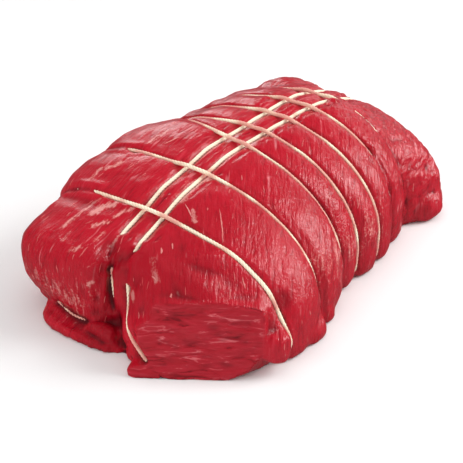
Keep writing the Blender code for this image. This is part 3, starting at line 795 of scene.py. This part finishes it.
def cotton_string():
    """Undyed cotton butcher's string, three-ply twist: cream, matt and slightly fuzzy, pink where it has
    soaked up the meat's juice."""
    finish, tree, shader = new_finish("twisted_cotton")
    where = add_node(tree, "ShaderNodeTexCoord").outputs["Object"]
    soaked = add_node(tree, "ShaderNodeAttribute", {"attribute_name": "soaked"}).outputs["Fac"]
    groove = add_node(tree, "ShaderNodeAttribute", {"attribute_name": "groove"}).outputs["Fac"]
    fuzz = add_node(tree, NOISE, Vector=where, Scale=2400.0, Detail=2.0).outputs[0]
    base = add_node(tree, RAMP, i0=soaked, stops=((0.0, colour("#FFF3D8")), (0.45, colour("#F6DCC0")), (1.0, colour("#E7A596")))).outputs[0]
    # painted shade: the grooves between the plies are darkened
    shade = add_node(tree, MATHS, {"operation": "MULTIPLY"}, i0=groove, i1=0.6).outputs[0]
    base = add_node(tree, MIX, BLEND, i0=shade, i6=base, i7=colour("#C79A7C")).outputs[2]
    tree.links.new(base, shader.inputs["Base Color"])
    bump = add_node(tree, "ShaderNodeBump", Height=fuzz, Strength=0.6, Distance=0.0003)
    tree.links.new(bump.outputs[0], shader.inputs["Normal"])
    shader.inputs["Roughness"].default_value = 0.85
    shader.inputs["Sheen Weight"].default_value = 0.2
    shader.inputs["Sheen Roughness"].default_value = 0.4
    return finish


def plain_floor():
    """Matt white board."""
    finish, tree, shader = new_finish("white_board")
    shader.inputs["Base Color"].default_value = colour("#F0F0F0")
    shader.inputs["Roughness"].default_value = 0.95
    shader.inputs["Specular IOR Level"].default_value = 0.1
    return finish


# ---------------------------------------------------------------- the studio
def add_camera(azimuth, elevation, target, distance, lens):
    turn, rise = math.radians(azimuth), math.radians(elevation)
    back = Vector((math.sin(turn) * math.cos(rise), -math.cos(turn) * math.cos(rise), math.sin(rise)))
    camera = bpy.data.objects.new("camera", bpy.data.cameras.new("camera"))
    bpy.context.scene.collection.objects.link(camera)
    camera.data.lens, camera.data.sensor_width, camera.data.clip_start = lens, 36, 0.01
    camera.location = target + back * distance
    camera.rotation_mode = "QUATERNION"
    camera.rotation_quaternion = (-back).to_track_quat("-Z", "Y")
    bpy.context.scene.camera = camera


def add_soft_light(name, place, target, size, power, shines=True):
    """A soft box. One that doesn't shine lights the surface but isn't mirrored in it, as behind a polariser."""
    light = bpy.data.lights.new(name, "AREA")
    light.shape, light.size, light.size_y, light.energy = "RECTANGLE", size[0], size[1], power
    lamp = bpy.data.objects.new(name, light)
    bpy.context.scene.collection.objects.link(lamp)
    lamp.location = place
    lamp.rotation_mode = "QUATERNION"
    lamp.rotation_quaternion = (Vector(target) - Vector(place)).to_track_quat("-Z", "Y")
    lamp.visible_glossy = shines


def add_floor():
    bpy.ops.mesh.primitive_plane_add(size=30.0, location=(0, 0, -0.0002))
    floor = bpy.context.object
    floor.name = "floor"
    floor.data.materials.append(plain_floor())
    floor.visible_glossy = False


def add_daylight(strength):
    world = bpy.data.worlds.new("studio")
    bpy.context.scene.world = world
    world.use_nodes = True
    sky = world.node_tree.nodes["Background"]
    sky.inputs["Color"].default_value = WHITE
    sky.inputs["Strength"].default_value = strength


# ---------------------------------------------------------------- the whole
# each string: the axis that it goes round, where its centre is across its width, how far juice has soaked it
STRINGS = {
    "girth_string_1": (1, 0.5, 0.35),
    "girth_string_2": (1, 0.5, 0.5),
    "girth_string_3": (1, 0.5, 0.8),
    "girth_string_4": (1, 0.5, 0.85),
    "girth_string_5": (1, 0.5, 0.85),
    "girth_string_6": (1, 0.5, 0.7),
    "girth_string_7": (1, 0.5, 0.6),
    "long_string_left": (0, 0.5, 0.0),
    "long_string_right": (0, 0.5, 0.05),
    "waist_string": (2, 0.62, 0.3),
}

add_camera(37, 32, in_metres(10.7, -24.9, 36.0), 0.84, 108.9)
bpy.ops.object.select_all(action="DESELECT")

cotton = cotton_string()
lines = {}
for seed, (name, (axis, centre_share, stain)) in enumerate(STRINGS.items()):
    lines[name] = middle_line(name, axis, centre_share)
    string = twisted_string(name + "_twist", lines[name], seed, stain)
    string.data.materials.append(cotton)
    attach(string, "root")
    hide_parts(name)

flesh = main_flesh(lines)
flesh.data.materials.append(lean_beef())
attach(flesh, "root")
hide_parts("beef_joint")

fat = fat_streaks(flesh, lines)
fat.data.materials.append(soft_fat())
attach(fat, "root")

add_floor()
add_daylight(0.12)
middle = (0, 0, 0.03)
add_soft_light("window", (0.92, 0.9, 0.9), middle, (0.7, 1.1), 24)
add_soft_light("rim", (-1.1, 0.9, 0.45), middle, (0.4, 0.25), 2.2)
add_soft_light("back", (-0.25, 1.5, 0.5), middle, (1.0, 0.5), 2.0)
add_soft_light("overhead fill", (0.0, 0.0, 1.5), middle, (1.6, 1.6), 11, shines=False)
add_soft_light("front fill", (0.1, -1.5, 0.6), middle, (1.6, 1.0), 14, shines=False)
add_soft_light("left fill", (-1.5, -0.3, 0.6), middle, (1.6, 1.0), 10, shines=False)
bpy.context.scene.view_settings.view_transform = "Standard"
